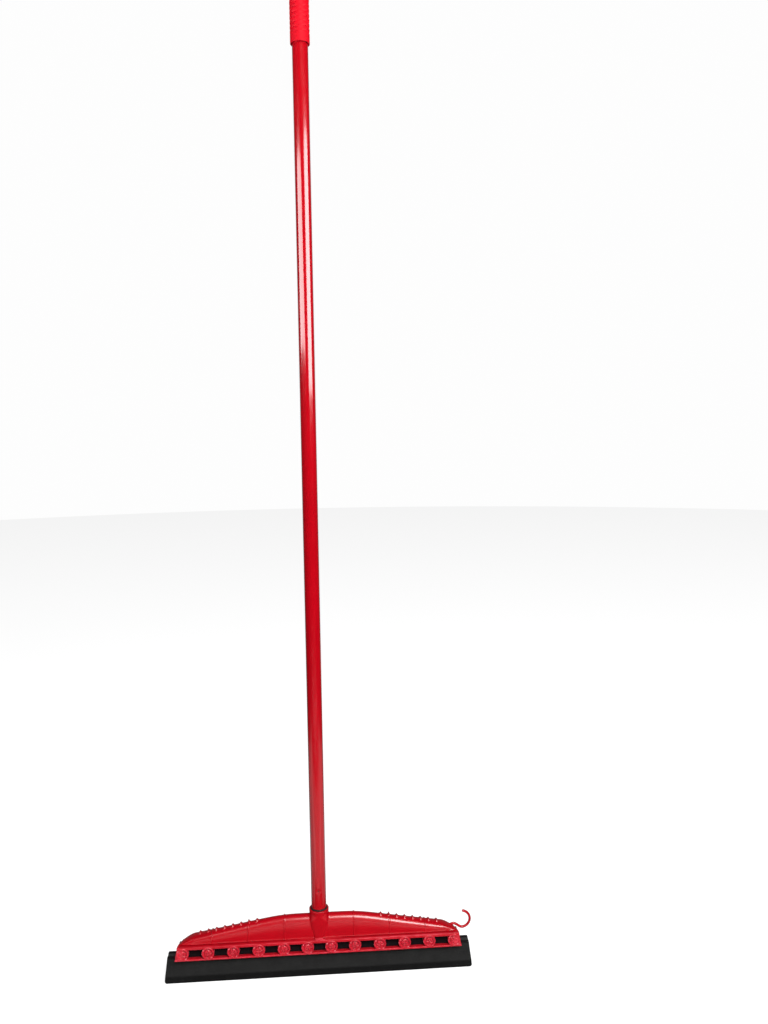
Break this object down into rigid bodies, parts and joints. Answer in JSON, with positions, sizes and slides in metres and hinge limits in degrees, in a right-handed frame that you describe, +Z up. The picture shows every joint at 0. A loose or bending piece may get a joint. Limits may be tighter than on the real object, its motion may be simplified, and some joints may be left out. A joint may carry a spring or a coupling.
{
  "type": "floor squeegee",
  "caption": "Long-handled floor squeegee: arched plastic head with a double foam-rubber blade held by snap rivets, a cloth hook, and a screw-in enamelled tube handle with a ribbed grip.",
  "frame": {"origin": "on the floor, below the handle's axis, midway along the blade", "axes": "+Z up along the handle, +X along the head towards the cloth hook, -Y is the front, where the rivet tips show"},
  "size_m": [0.4576, 0.0342, 1.4779],
  "materials": {
    "head_plastic": "moulded polypropylene, satin gloss",
    "rail_plastic": "moulded polypropylene, satin gloss",
    "rivet_plastic": "moulded, satin",
    "hook_plastic": "moulded, satin",
    "foam_rubber": "fine closed-cell foam, matte",
    "spacer_plastic": "matte",
    "washer_rubber": "matte",
    "insert_plastic": "moulded, matte",
    "tube_enamel": "gloss enamel on steel",
    "grip_plastic": "soft satin PVC"
  },
  "bodies": {
    "head": {"head_shell": "head_plastic", "rear_clamp_bar": "rail_plastic", "front_foam_lip": "foam_rubber", "rear_foam_lip": "foam_rubber", "centre_spacer": "spacer_plastic", "cloth_hook": "hook_plastic", "snap_rivet_01": "rivet_plastic", "snap_rivet_02": "rivet_plastic", "snap_rivet_03": "rivet_plastic", "snap_rivet_04": "rivet_plastic", "snap_rivet_05": "rivet_plastic", "snap_rivet_06": "rivet_plastic", "snap_rivet_07": "rivet_plastic", "snap_rivet_08": "rivet_plastic", "snap_rivet_09": "rivet_plastic", "snap_rivet_10": "rivet_plastic", "snap_rivet_11": "rivet_plastic", "snap_rivet_12": "rivet_plastic"},
    "washer": {"socket_washer": "washer_rubber"},
    "handle": {"handle_tube": "tube_enamel", "thread_insert": "insert_plastic", "hand_grip": "grip_plastic"}
  },
  "joints": [
    {"name": "handle_lift", "type": "slide", "parent": "head", "child": "washer", "axis": [0, 0, 1], "range_m": [0, 0.02032]},
    {"name": "handle_turn", "type": "hinge", "parent": "washer", "child": "handle", "pos_m": [0, 0, 0.097], "axis": [0, 0, 1], "range_deg": [0, 1440]}
  ],
  "couplings": [
    {"joint": "handle_turn", "follows": "handle_lift", "rad_per_m": 1236.8}
  ]
}
